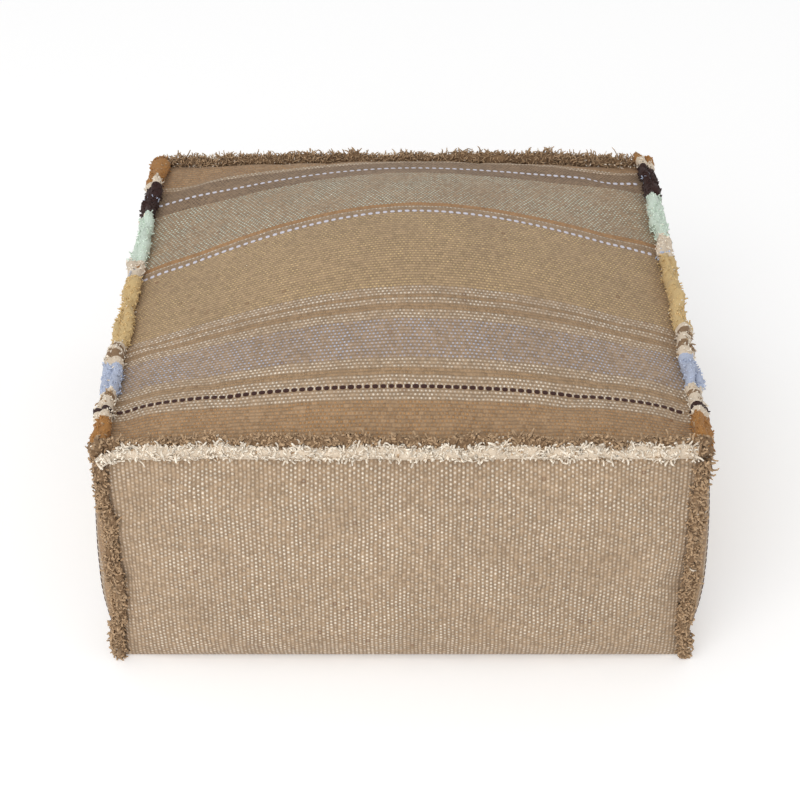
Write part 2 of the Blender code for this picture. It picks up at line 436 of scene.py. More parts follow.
class StudioSettings(bpy.types.PropertyGroup):
    """The camera's place and the light."""

    elevation: FloatProperty(
        name="Elevation", description="The camera's angle above the horizon",
        default=math.radians(35.5), subtype="ANGLE",
    )
    distance: FloatProperty(
        name="Distance", description="Along the view, from the camera to the upper front seam",
        default=1.9656, unit="LENGTH",
    )
    floor_side: FloatProperty(
        name="Floor side", description="The floor's side", default=16.0, unit="LENGTH"
    )


def deselect_everything():
    """Leave nothing selected, so that an operator acts only on what is chosen next."""
    bpy.ops.object.select_all(action="DESELECT")
    bpy.context.view_layer.objects.active = None


def choose(piece):
    """Make one piece the only selected and the active one."""
    deselect_everything()
    piece.select_set(True)
    bpy.context.view_layer.objects.active = piece


def select_in_edit(piece, kind, wanted):
    """In edit mode, select only those vertices, edges or faces that are wanted."""
    bpy.ops.mesh.select_mode(type=kind)
    bpy.ops.mesh.select_all(action="DESELECT")
    mesh = bmesh.from_edit_mesh(piece.data)
    parts = {"VERT": mesh.verts, "EDGE": mesh.edges, "FACE": mesh.faces}[kind]
    for part in parts:
        if wanted(part):
            part.select_set(True)
    bmesh.update_edit_mesh(piece.data)


def new_cube(name, size, centre):
    """A box of the given size at the given place, with its place and size in its mesh."""
    deselect_everything()
    bpy.ops.mesh.primitive_cube_add(size=1, location=centre)
    cube = bpy.context.object
    cube.name = cube.data.name = name
    cube.scale = size
    bpy.ops.object.transform_apply(location=True, rotation=True, scale=True)
    return cube


def read_all(items, name, kind=np.int32, width=1):
    """One value, or one row of values, of each item of a mesh."""
    values = np.empty(len(items) * width, kind)
    items.foreach_get(name, values)
    return values if width == 1 else values.reshape(-1, width)


def read_points(mesh):
    """A mesh's vertices as rows of x, y and z."""
    return read_all(mesh.vertices, "co", np.float32, 3).astype(float)


def write_points(mesh, points):
    """Move a mesh's vertices to the given places."""
    mesh.vertices.foreach_set("co", points.astype(np.float32).ravel())
    mesh.update()


def write_map(mesh, name, places):
    """Give a mesh one UV map, with a place for each face corner."""
    for old in list(mesh.uv_layers):
        mesh.uv_layers.remove(old)
    layer = mesh.uv_layers.new(name=name)
    layer.uv.foreach_set("vector", places.astype(np.float32).ravel())


def add(tree, kind, inputs=(), **settings):
    """Add a shader node with its settings; an input is a value, or another node's output to link."""
    node = tree.nodes.new(f"ShaderNode{kind}")
    for name, value in settings.items():
        setattr(node, name, value)
    for name, value in dict(inputs).items():
        if isinstance(value, bpy.types.NodeSocket):
            tree.links.new(value, node.inputs[name])
        else:
            node.inputs[name].default_value = value
    return node.outputs


def cotton(name, colour, height, bump_distance):
    """A matt cotton material, from functions that add its colour and its height to its nodes."""
    material = bpy.data.materials.new(name)
    material.use_nodes = True
    tree = material.node_tree
    shader = tree.nodes["Principled BSDF"]
    shader.inputs["Roughness"].default_value = 0.92
    shader.inputs["Metallic"].default_value = 0.0
    shader.inputs["Specular IOR Level"].default_value = 0.25
    shader.inputs["Sheen Weight"].default_value = 0.08
    shader.inputs["Sheen Roughness"].default_value = 0.5
    tree.links.new(colour(tree), shader.inputs["Base Color"])
    relief = add(tree, "Bump", {"Height": height(tree), "Strength": 1.0, "Distance": bump_distance})
    tree.links.new(relief["Normal"], shader.inputs["Normal"])
    return material


def woven_cloth(name, bands, pitches, yarns, tone, faded_from):
    """Plain weave of thick hand-spun cotton, as cut from the loom and not pressed.

    Tan warp threads pass over and under the thick weft in turn, so the eye sees the weft rows as soft
    ribs, with a dot of the weft's own colour at every second warp thread, set like bricks from row to
    row, and a line of painted shade in the valley where two rows meet. The yarn is uneven, so the dots
    differ in size and brightness and in places sink under the warp, and here and there a speck of seed
    or stray fibre is spun in. The tone says how far the warp's fibre clouds the weft, and the dots fade
    from faded_from outwards, in metres across the rows, where the cloth turns to its seams.
    """
    warp_pitch, weft_pitch = pitches

    def lattice(tree):
        """The dot that a place belongs to, and the place in its cell, from -0.5 to 0.5."""
        place = add(tree, "UVMap", uv_map="weave")["UV"]
        drift = add(tree, "TexNoise", {"Vector": place, **PATTERNS["wander"]})
        drift = add(
            tree, "VectorMath", {0: drift["Color"], 1: (0.5, 0.5, 0.5)}, operation="SUBTRACT"
        )["Vector"]
        count = add(
            tree, "VectorMath", {0: place, 1: (0.5 / warp_pitch, 1 / weft_pitch, 0.0)},
            operation="MULTIPLY"
        )["Vector"]
        count = add(
            tree, "VectorMath", {0: drift, 1: WANDER, 2: count}, operation="MULTIPLY_ADD"
        )["Vector"]
        row = add(tree, "SeparateXYZ", {0: count})["Y"]
        row = add(tree, "Math", {0: row}, operation="FLOOR")["Value"]
        half = add(tree, "Math", {0: row, 1: 0.5}, operation="MULTIPLY")["Value"]
        shift = add(tree, "Math", {0: half}, operation="FRACT")["Value"]
        shift = add(tree, "CombineXYZ", {"X": shift})["Vector"]
        count = add(tree, "VectorMath", {0: count, 1: shift}, operation="ADD")["Vector"]
        cell = add(tree, "VectorMath", {0: count}, operation="FLOOR")["Vector"]
        local = add(tree, "VectorMath", {0: count}, operation="FRACTION")["Vector"]
        local = add(tree, "VectorMath", {0: local, 1: (0.5, 0.5, 0.0)}, operation="SUBTRACT")["Vector"]
        return place, cell, local, row

    def weft_dot(tree, place, cell, local):
        """1 on a weft dot and 0 off it, and the dot's own chance; no two dots are alike."""
        chance = add(tree, "TexWhiteNoise", {"Vector": cell}, noise_dimensions="3D")
        shape = add(tree, "VectorMath", {0: local, 1: DOT_SCALE}, operation="MULTIPLY")
        off = add(tree, "VectorMath", {0: shape["Vector"]}, operation="LENGTH")["Value"]
        edge = add(
            tree, "MapRange", {"Value": chance["Value"], "To Min": 0.80, "To Max": 1.10}
        )["Result"]
        dot = add(
            tree, "MapRange", {"Value": off, "From Min": edge, "From Max": 0.34},
            interpolation_type="SMOOTHSTEP",
        )["Result"]
        sunk = add(tree, "TexNoise", {"Vector": place, **PATTERNS["sinking"]})
        sunk = add(
            tree, "MapRange",
            {"Value": sunk["Fac"], "From Min": 0.36, "From Max": 0.60, "To Min": 0.45}
        )["Result"]
        across = add(tree, "SeparateXYZ", {0: place})["Y"]
        across = add(tree, "Math", {0: across}, operation="ABSOLUTE")["Value"]
        faded = add(
            tree,
            "MapRange",
            {"Value": across, "From Min": faded_from, "From Max": faded_from + FADE_REACH,
             "To Min": 1.0, "To Max": 0.65}
        )["Result"]
        sunk = add(tree, "Math", {0: sunk, 1: faded}, operation="MULTIPLY")["Value"]
        dot = add(tree, "Math", {0: dot, 1: sunk}, operation="MULTIPLY")["Value"]
        bold = add(
            tree, "MapRange", {"Value": chance["Value"], "From Max": 0.45, "To Min": 0.25}
        )["Result"]
        dot = add(tree, "Math", {0: dot, 1: bold}, operation="MULTIPLY")["Value"]
        return dot, chance["Color"]

    def weft_rib(tree, local):
        """1 along the middle of a weft row and 0 where two rows meet."""
        across = add(tree, "SeparateXYZ", {0: local})["Y"]
        square = add(tree, "Math", {0: across, 1: across}, operation="MULTIPLY")
        return add(
            tree, "Math", {0: square["Value"], 1: -4.0, 2: 1.0}, operation="MULTIPLY_ADD"
        )["Value"]

    def weft_colour(tree, row):
        """The colour of the weft row, which is one yarn from side to side, and as its alpha how
        far it tints the warp."""
        length = CLOTH_LENGTH * MILLIMETRE
        part = add(
            tree, "Math", {0: row, 1: weft_pitch / length, 2: weft_pitch / length / 2},
            operation="MULTIPLY_ADD"
        )["Value"]
        ramp_node = add(tree, "ValToRGB", {"Fac": part})
        ramp = ramp_node["Color"].node.color_ramp
        ramp.interpolation = "CONSTANT"
        starts = [0.0] + [band[0] / CLOTH_LENGTH for band in bands[:-1]]
        for index, (start, (_, yarn, tint)) in enumerate(zip(starts, bands)):
            stop = ramp.elements[0] if index == 0 else ramp.elements.new(start)
            stop.color = (*getattr(yarns, yarn), tint)
        ramp.elements.remove(ramp.elements[-1])
        return ramp_node

    def scaled(tree, colour, low, high, amount):
        """A colour made from low to high times as bright by an amount from 0 to 1."""
        scale = add(tree, "MapRange", {"Value": amount, "To Min": low, "To Max": high})["Result"]
        return add(tree, "VectorMath", {0: colour, "Scale": scale}, operation="SCALE")["Vector"]

    def colour(tree):
        place, cell, local, row = lattice(tree)
        dot, chance = weft_dot(tree, place, cell, local)
        chances = add(tree, "SeparateXYZ", {0: chance})
        band = weft_colour(tree, row)
        weft = add(
            tree, "Mix", {"Factor": tone, "A": band["Color"], "B": tuple(yarns.tan)},
            data_type="VECTOR",
        )[1]
        warp = add(
            tree, "Mix", {"Factor": band["Alpha"], "A": tuple(yarns.tan), "B": weft},
            data_type="VECTOR",
        )[1]
        # Painted shade: the warp darkens towards the valley where two weft rows meet.
        warp = scaled(tree, warp, 0.74, 1.04, weft_rib(tree, local))
        warp = scaled(tree, warp, 0.80, 1.10, chances["Y"])
        weft = scaled(tree, weft, 0.84, 1.16, chances["Z"])
        cloth = add(tree, "Mix", {"Factor": dot, "A": warp, "B": weft}, data_type="VECTOR")
        fleck = add(tree, "VectorMath", {0: cell, 1: (17.0, 5.0, 3.0)}, operation="ADD")["Vector"]
        fleck = add(tree, "TexWhiteNoise", {"Vector": fleck}, noise_dimensions="3D")
        fleck = add(
            tree, "MapRange",
            {"Value": fleck["Value"], "From Min": 0.994, "From Max": 1.0, "To Max": 0.5}
        )["Result"]
        cloth = add(
            tree, "Mix", {"Factor": fleck, "A": cloth[1], "B": tuple(yarns.fleck)},
            data_type="VECTOR",
        )
        fibre = add(tree, "TexNoise", {"Vector": place, **PATTERNS["fibre"]})["Fac"]
        patch = add(tree, "TexNoise", {"Vector": place, **PATTERNS["patches"]})["Fac"]
        cloth = scaled(tree, cloth[1], 0.70, 1.30, fibre)
        return scaled(tree, cloth, 0.86, 1.14, patch)

    def height(tree):
        place, cell, local, _ = lattice(tree)
        dot, _ = weft_dot(tree, place, cell, local)
        return add(
            tree, "Math", {0: weft_rib(tree, local), 1: 0.4, 2: dot}, operation="MULTIPLY_ADD"
        )["Value"]

    return cotton(name, colour, height, 0.0007)


def cotton_yarn(name, yarn, root_shade_tint):
    """Soft cotton yarn, cut and frayed into its plies: matt, each ply a little lighter or darker than
    the next, with painted shade at its root, where the light hardly reaches among the plies, and paler
    at its tip, partly from its loose fibre and partly from painted light.
    """

    def colour(tree):
        strand = add(tree, "UVMap", uv_map="strand")["UV"]
        axes = add(tree, "SeparateXYZ", {0: strand})
        chance = add(tree, "MapRange", {"Value": axes["X"], "To Min": 0.84, "To Max": 1.14})
        # Painted shade and light: each ply runs from its shaded root to its lit tip.
        shaded_root = tuple(part * kept for part, kept in zip(yarn, root_shade_tint))
        lit_tip = tuple(part * TIP_SHADE for part in yarn)
        ply = add(tree, "Mix", {"Factor": axes["Y"], "A": shaded_root, "B": lit_tip}, data_type="VECTOR")[1]
        place = add(tree, "TexCoord")["Object"]
        fibre = add(tree, "TexNoise", {"Vector": place, **PATTERNS["ply_fibre"]})["Fac"]
        fibre = add(tree, "MapRange", {"Value": fibre, "To Min": 0.80, "To Max": 1.20})["Result"]
        shade = add(tree, "Math", {0: chance["Result"], 1: fibre}, operation="MULTIPLY")["Value"]
        return add(tree, "VectorMath", {0: ply, "Scale": shade}, operation="SCALE")["Vector"]

    def height(tree):
        place = add(tree, "TexCoord")["Object"]
        return add(tree, "TexNoise", {"Vector": place, **PATTERNS["ply_relief"]})["Fac"]

    return cotton(name, colour, height, 0.0008)


def yarn_material(yarn):
    """The material of one yarn, made once."""
    name = f"{yarn}_cotton_yarn"
    found = bpy.data.materials.get(name)
    colour = getattr(bpy.context.scene.yarn_colours, yarn)
    return found or cotton_yarn(name, colour, ROOT_TINTS.get(yarn, OTHER_ROOT_TINT))


def fall(place, power, edge):
    """1 in a panel's middle and 0 at its seams, where place is -1 and 1."""
    return np.clip(1 - np.abs(place) ** power, 0, 1) ** edge


def crown_lift(across, along, sizes):
    """How far the top rises over its seams. The filling stands fullest close to the back seam."""
    lift = fall(across, CROWN_FALL, CROWN_EDGE[0]) * fall(along, CROWN_FALL, CROWN_EDGE[1])
    from_back = np.clip(1 - along, 0, 1) * sizes.side / 2 / BACK_ROLL_PLACE
    roll = (from_back * np.exp(1 - from_back)) ** 2 * fall(across, BACK_ROLL_FALL, 1)
    return sizes.crown * lift + BACK_ROLL * roll


def swell(flat, sizes):
    """Where points of the flat-sided box go when the cushion is stuffed."""
    tolerance = 1e-5
    reach = sizes.side / 2 - SEAM_WIDTH
    across, along = flat[:, 0] / reach, flat[:, 1] / reach
    up = (flat[:, 2] - SEAM_WIDTH) / (sizes.seam_height - 2 * SEAM_WIDTH)
    height = fall(2 * np.clip(up, 0, 1) ** SAG - 1, 2, SAG_EDGE)
    moved = flat.copy()
    top = flat[:, 2] > sizes.seam_height - tolerance
    moved[top, 2] += crown_lift(across, along, sizes)[top]
    ends = np.abs(flat[:, 1]) > sizes.side / 2 - tolerance
    push = sizes.front_bulge * fall(across, BULGE_FALL, BULGE_EDGE) * height
    moved[ends, 1] += (np.sign(flat[:, 1]) * push)[ends]
    sides = np.abs(flat[:, 0]) > sizes.side / 2 - tolerance
    push = sizes.side_bulge * fall(along, BULGE_FALL, BULGE_EDGE) * height
    moved[sides, 0] += (np.sign(flat[:, 0]) * push)[sides]
    return moved


def box_grid(sizes):
    """The sewn cover before it is filled: a box in a fine grid, its seams rounded."""
    box = new_cube(
        "woven_cover", (sizes.side, sizes.side, sizes.seam_height), (0, 0, sizes.seam_height / 2),
    )
    bpy.ops.object.mode_set(mode="EDIT")
    for axis, cells in enumerate((sizes.cells, sizes.cells, sizes.height_cells)):
        def runs_along(edge, axis=axis):
            run = edge.verts[1].co - edge.verts[0].co
            return abs(run[axis]) > 0.99 * run.length
        select_in_edit(box, "EDGE", runs_along)
        bpy.ops.mesh.subdivide(number_cuts=cells - 1)
    select_in_edit(box, "EDGE", lambda edge: edge.calc_face_angle() > math.radians(45))
    bpy.ops.mesh.bevel(offset=SEAM_WIDTH, segments=3)
    bpy.ops.object.mode_set(mode="OBJECT")
    return box


def panel_of(normals):
    """Which panel each face belongs to, as its index in PANELS."""
    facing = np.stack([normals @ np.array(axis) for axis in PANELS.values()], axis=1)
    return facing.argmax(axis=1)


def band_place(x, y, sizes):
    """How far along the cloth's length a point of the top lies, from 0 at the front seam.

    The cloth runs up over the crown, so its length is measured along it. The bands run askew.
    """
    reach = sizes.side / 2 - SEAM_WIDTH
    fine = np.linspace(-reach, reach, 241)
    part = np.empty(len(x))
    columns, column = np.unique(np.round(x, 5), return_inverse=True)
    for index, place in enumerate(columns):
        rise = np.diff(crown_lift(place / reach, fine / reach, sizes))
        run = np.concatenate([[0], np.cumsum(np.hypot(np.diff(fine), rise))])
        chosen = column == index
        part[chosen] = np.interp(y[chosen], fine, run / run[-1])
    return skewed(part, x / reach)


def skewed(part, across):
    """Turn a part of the way from front to back into the place of the band that lies there."""
    ways, leans, bows, turns = zip(*BAND_SKEW)
    place = part + across * np.interp(part, ways, leans) + across ** 2 * np.interp(part, ways, bows)
    return place + np.abs(across) ** TURN_POWER * np.interp(part, ways, turns)


def weave_places(points, panels, sizes):
    """Where each face corner lies in its panel's cloth: along the weft, and across its rows."""
    names = list(PANELS)
    x, y, z = points.T
    length = CLOTH_LENGTH * MILLIMETRE
    places = np.stack([x, y], axis=1)
    top = panels == names.index("top")
    places[top, 1] = band_place(x[top], y[top], sizes) * length
    for name in ("left", "right"):
        side = panels == names.index(name)
        part = y[side] / sizes.side + 0.5
        edge = PANELS[name].x
        places[side, 0] = z[side]
        lean = SIDE_CLOTH_LEAN * (1 - z[side] / sizes.seam_height)
        places[side, 1] = skewed(part, edge) * length + SIDE_CLOTH_SHIFT + lean
    for name in ("front", "back"):
        end = panels == names.index(name)
        places[end, 0] = z[end]
        places[end, 1] = x[end]
    return places


def lay_cloth(box, sizes):
    """Record each face's panel and each corner's place in the weave, before the box swells."""
    mesh = box.data
    normals = np.array([face.normal for face in mesh.polygons])
    panels = panel_of(normals)
    mesh.attributes.new("panel", "INT", "FACE").data.foreach_set("value", panels.astype(np.int32))
    counts = np.array([face.loop_total for face in mesh.polygons])
    corners = read_all(mesh.loops, "vertex_index")
    places = weave_places(read_points(mesh)[corners], np.repeat(panels, counts), sizes)
    write_map(mesh, "weave", places)
    cloth_of = {"front": 1, "back": 1, "base": 2}
    cloths = np.array([cloth_of.get(name, 0) for name in PANELS])[panels]
    mesh.polygons.foreach_set("material_index", cloths.astype(np.int32))


def fill(cover, flat, sizes):
    """Let the filling press the cloth out against its seams, and cap how far it goes."""
    mesh = cover.data
    before = read_points(mesh)
    tolerance = SEAM_WIDTH * 1.01
    half = sizes.side / 2 - tolerance
    at_side = np.abs(flat[:, 0]) > half
    at_end = np.abs(flat[:, 1]) > half
    at_top = np.abs(flat[:, 2] - sizes.seam_height) < tolerance
    sewn = (at_side & at_end) | (at_side & at_top) | (at_end & at_top)
    sewn |= flat[:, 2] < tolerance
    group = cover.vertex_groups.new(name="sewn")
    group.add(np.flatnonzero(sewn).tolist(), 1.0, "REPLACE")
    choose(cover)
    filling = cover.modifiers.new("filling", "CLOTH")
    settings = filling.settings
    settings.quality = 5
    settings.vertex_group_mass = "sewn"
    settings.mass = 0.2
    settings.tension_stiffness = settings.compression_stiffness = 80
    settings.shear_stiffness = 32
    settings.bending_stiffness = 0.5
    settings.shrink_min = -sizes.slack
    settings.use_pressure = True
    settings.uniform_pressure_force = 2
    settings.effector_weights.gravity = 0
    filling.point_cache.frame_start = 1
    filling.point_cache.frame_end = FILL_STEPS
    for step in range(1, FILL_STEPS + 1):
        bpy.context.scene.frame_set(step)
    bpy.ops.object.modifier_apply(modifier="filling")
    bpy.context.scene.frame_set(1)
    move = read_points(mesh) - before
    far = np.linalg.norm(move, axis=1, keepdims=True)
    kept = np.minimum(far, sizes.most_give) / np.maximum(far, 1e-9)
    write_points(mesh, before + move * kept)


def finish_piece(piece, slot, nodes=()):
    """Attach a finished piece to the root, and hide the parts that it stands for."""
    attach(piece, "root")
    if nodes:
        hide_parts(*nodes)


class POUF_OT_woven_cover(bpy.types.Operator):
    """Sew the cover of its six panels and fill it"""

    bl_idname = "pouf.woven_cover"
    bl_label = "Woven cover"

    def execute(self, context):
        sizes = context.scene.cushion_sizes
        yarns = context.scene.yarn_colours
        cloth = context.scene.cloth_sizes
        cover = box_grid(sizes)
        striped = (cloth.warp_pitch, cloth.weft_pitch)
        plain = (cloth.plain_warp_pitch, cloth.plain_weft_pitch)
        edge = sizes.side / 2 - FADE_REACH
        for name, bands, pitches, tone, faded_from in (
            ("striped_cotton_cloth", WEFT_BANDS, striped, 0.26, CLOTH_LENGTH),
            ("undyed_weft_cotton_cloth", ((CLOTH_LENGTH, "cream", 0.06),), plain, 0.26, edge),
            ("tan_cotton_base_cloth", ((CLOTH_LENGTH, "tan", 0.0),), plain, 0.30, edge),
        ):
            cloth_made = woven_cloth(name, bands, pitches, yarns, tone, faded_from)
            cover.data.materials.append(cloth_made)
        lay_cloth(cover, sizes)
        flat = read_points(cover.data)
        full = swell(flat, sizes)
        swelled = np.linalg.norm(full - flat, axis=1, keepdims=True)
        held = np.minimum(sizes.slackness, sizes.most_give / np.maximum(swelled, 1e-9))
        write_points(cover.data, full + (flat - full) * held)
        fill(cover, flat, sizes)
        choose(cover)
        smooth = cover.modifiers.new("smooth", "SUBSURF")
        smooth.levels = smooth.render_levels = 1
        smooth.boundary_smooth = "PRESERVE_CORNERS"
        bpy.ops.object.modifier_apply(modifier="smooth")
        bpy.ops.object.shade_smooth()
        finish_piece(cover, "woven_cover", ["pouf_body"])
        return {"FINISHED"}


def cloth_finder(cover, panel):
    """A function that gives the point and the normal of the finished cover under a place of one
    panel's weave."""
    mesh = cover.data
    mesh.calc_loop_triangles()
    marks = read_all(mesh.attributes["panel"].data, "value")
    owners = read_all(mesh.loop_triangles, "polygon_index")
    loops = read_all(mesh.loop_triangles, "loops", width=3)
    loops = loops[marks[owners] == list(PANELS).index(panel)]
    corners = read_all(mesh.loops, "vertex_index")
    places = read_all(mesh.uv_layers["weave"].uv, "vector", np.float32, 2)
    flat = np.zeros((len(loops) * 3, 3))
    flat[:, :2] = places[loops.ravel()]
    points = read_points(mesh)[corners[loops]]
    tree = BVHTree.FromPolygons(flat.tolist(), np.arange(len(flat)).reshape(-1, 3).tolist())
    flat = flat.reshape(-1, 3, 3)

    def find(along, across):
        over = Vector((along, across, 1))
        place, _, index, _ = tree.ray_cast(over, Vector((0, 0, -1)))
        if index is None:
            return None
        edges = (flat[index][1:] - flat[index][0])[:, :2].T
        parts = np.linalg.solve(edges, np.array(place)[:2] - flat[index][0][:2])
        corner, first, second = points[index]
        point = corner + parts[0] * (first - corner) + parts[1] * (second - corner)
        normal = np.cross(first - corner, second - corner)
        return point, normal / np.linalg.norm(normal)

    return find


def float_pad():
    """One raised float: a short thick stretch of yarn that dives under the warp at both ends."""
    pad = new_cube("float_pad", (1, 1, 1), (0, 0, 0))
    bpy.ops.object.mode_set(mode="EDIT")
    bpy.ops.mesh.select_all(action="SELECT")
    bpy.ops.mesh.bevel(offset=0.34, segments=2)
    bpy.ops.object.mode_set(mode="OBJECT")
    points = read_points(pad.data)
    faces = [list(face.vertices) for face in pad.data.polygons]
    bpy.data.objects.remove(pad, do_unlink=True)
    return points, faces


def lay_float(pad, find, place, middle, size):
    """The points of one pad of the given size, laid on the cloth along its weft row, or nothing
    where the panel has ended."""
    here = find(place, middle)
    ahead = find(place + 0.002, middle)
    if here is None or ahead is None:
        return None
    point, normal = here
    along = ahead[0] - point
    along -= normal * (along @ normal)
    along /= np.linalg.norm(along)
    return (pad * size) @ np.stack([along, np.cross(normal, along), normal]) + point


class POUF_OT_raised_floats(bpy.types.Operator):
    """Lay the rows of raised floats on the top and down the two sides"""

    bl_idname = "pouf.raised_floats"
    bl_label = "Raised floats"

    def execute(self, context):
        sizes = context.scene.cushion_sizes
        pitch = context.scene.cloth_sizes.float_pitch
        pad, pad_faces = float_pad()
        draw = np.random.default_rng(FLOAT_SEED)
        names = ["dark", "pale_sky", "cream"]
        points, faces, yarns, ways = [], [], [], []
        for panel in ("top", "left", "right"):
            find = cloth_finder(bpy.data.objects["woven_cover"], panel)
            low, high = (-sizes.side / 2, sizes.side / 2) if panel == "top" else (0, sizes.seam_height)
            places = np.arange(low + FLOAT_MARGIN[0], high - FLOAT_MARGIN[1], pitch / 2)
            for middle, yarn, length, width, height, tied in FLOAT_ROWS:
                for number, place in enumerate(places):
                    is_tie = number % 2 == 1
                    if is_tie and not tied:
                        continue
                    size = np.array(TIE_SIZE if is_tie else (length, width, height)) * MILLIMETRE
                    size = size * draw.uniform(*FLOAT_SPREAD, 3)
                    laid = lay_float(pad, find, place, middle * MILLIMETRE, size)
                    if laid is None:
                        continue
                    start = len(points) * len(pad)
                    points.append(laid)
                    faces += [[start + corner for corner in face] for face in pad_faces]
                    yarns += [names.index("cream" if is_tie else yarn)] * len(pad_faces)
                    # Painted light on the raised floats, and painted shade on the sunk thread between
                    # them.
                    ways += [TIE_SHADE_WAY if is_tie else FLOAT_LIGHT_WAY] * sum(len(face) for face in pad_faces)
        mesh = bpy.data.meshes.new("raised_floats")
        mesh.from_pydata(np.concatenate(points).tolist(), [], faces)
        for name in names:
            mesh.materials.append(yarn_material(name))
        mesh.polygons.foreach_set("material_index", yarns)
        mark_strands(mesh, np.full(len(ways), 0.5), np.array(ways))
        mesh.shade_smooth()
        floats = bpy.data.objects.new("raised_floats", mesh)
        context.collection.objects.link(floats)
        finish_piece(floats, "woven_cover")
        return {"FINISHED"}


def row_frame(own, other, sizes):
    """A row's turn and place, and its length: X runs along the seam, Y over to the row's own
    panel and Z outwards."""
    upright = "top" not in (own, other)
    first, second = PANELS[own], PANELS[other]
    middle = Vector((0, 0, sizes.seam_height / 2))
    for axis, half in enumerate((sizes.side / 2, sizes.side / 2, sizes.seam_height / 2)):
        middle[axis] += (first[axis] + second[axis]) * (half - SEAM_WIDTH / 2)
    length = sizes.side - 2 * CORNER_INSET
    if upright:
        length = sizes.seam_height - FLOOR_GAP - CORNER_INSET
        middle.z = FLOOR_GAP + length / 2
    outward = (first + second).normalized()
    over = (first - second).normalized()
    turn = Matrix((over.cross(outward), over, outward)).transposed().to_4x4()
    return Matrix.Translation(middle) @ turn, length


def wavering(draw, length, spacing, spread):
    """A smooth random value along a row, as a function of the place along it."""
    knots = np.arange(-length / 2 - spacing, length / 2 + 2 * spacing, spacing)
    values = draw.normal(0, spread, len(knots))

    def at(places):
        part = (places - knots[0]) / spacing
        index = np.clip(part.astype(int), 0, len(knots) - 2)
        ease = part - index
        ease = ease * ease * (3 - 2 * ease)
        return values[index] * (1 - ease) + values[index + 1] * ease

    return at


def near_end(row, places, reach):
    """0 along a row, and from there to 1 over the last reach before either end."""
    return np.clip((np.abs(places) - row["length"] / 2 + reach) / reach, 0, 1)


def heart_place(row, places, side, up):
    """Where a place of a row's matted heart lies in the row's own axes: side and up run from -1
    to 1 over the heart's section, and up is -1 at the seam. Also the section's two directions."""
    lean = row["lean"](places)
    strength, pitch, slant = HEART_LUMPS
    lump = row["lump"](places) + strength * row["lump"](places * pitch + slant * side)
    fullness = row["fullness"](places)
    depth = row["depth"] * fullness * (1 + row["tuft"](places)) * (1 + lump)
    past = near_end(row, places, FAN_REACH) ** 2
    blunt = near_end(row, places, BLUNT_REACH) ** 2
    side = side * (1 - BLUNT[0] * blunt)
    rise = depth * (1 + up) / 2 * (1 - BLUNT[1] * blunt)
    neck, gain = HEART_NECK
    wide = row["half"] * np.sqrt(fullness) * (1 + LUMP_GIRTH * lump)
    wide = wide * (neck + gain * np.sin(np.clip(1 + up, 0, NECK_END))) * (1 + row["girth"](places))
    none = np.zeros_like(lean)
    above = np.stack([none, np.sin(lean), np.cos(lean)], axis=-1)
    across = np.stack([none, np.cos(lean), -np.sin(lean)], axis=-1)
    root = np.stack(
        [
            places + np.sign(places) * past * rise * FAN,
            none + STRIP_INSET + STRIP_THICK / 2,
            none + ROW_GAP,
        ],
        axis=-1,
    )
    point = root + rise[..., None] * above + (wide * side)[..., None] * across
    return point, across, above


def unit(vectors):
    """Vectors at length 1."""
    return vectors / np.linalg.norm(vectors, axis=-1, keepdims=True)


def bent_plies(draw, places, row, edges):
    """Centre lines of the loose plies in their row's own axes, as plies x points x 3.

    Each one leaves the heart's face at a slant and curls its own way back to it.
    """
    count = len(places)
    around = draw.uniform(*np.radians(PLY_AROUND), count)
    side, up = np.cos(around), np.sin(around)
    roots, across, above = heart_place(row, places, PLY_SINK * side, PLY_SINK * up)
    normal = unit(side[:, None] / row["half"] * across + up[:, None] * 2 / row["depth"] * above)
    reach, turned = END_PLIES
    past = near_end(row, places, reach) * np.sign(places)
    normal = unit(normal + turned * past[:, None] * np.array((1, 0, 0)))
    slant = np.abs(draw.normal(row["slant"], row["stray"], count))[:, None]
    along = draw.normal(size=(count, 3)) + row["combed"] * above + row["droop"]
    along = unit(along - (along * normal).sum(axis=1, keepdims=True) * normal)
    start = np.cos(slant) * normal + np.sin(slant) * along
    inward = draw.normal(size=(count, 3)) - PLY_HOMING * normal
    inward = unit(inward - (inward * start).sum(axis=1, keepdims=True) * start)
    other = np.cross(start, inward)
    way = (np.arange(edges.steps) + 0.5) / edges.steps
    curl_spread, twist_spread, length_spread = PLY_SPREAD
    turn = draw.normal(edges.curl, curl_spread * edges.curl, count)[:, None] * way
    spin = draw.uniform(-twist_spread, twist_spread, count)[:, None] * way
    heading = (
        np.cos(turn)[..., None] * start[:, None]
        + (np.sin(turn) * np.cos(spin))[..., None] * inward[:, None]
        + (np.sin(turn) * np.sin(spin))[..., None] * other[:, None]
    )
    reach = row["ply"] * np.clip(draw.lognormal(0, length_spread, count), *PLY_LENGTHS)
    moves = heading * (reach / edges.steps)[:, None, None]
    return roots[:, None] + np.concatenate([np.zeros((count, 1, 3)), moves.cumsum(axis=1)], axis=1)


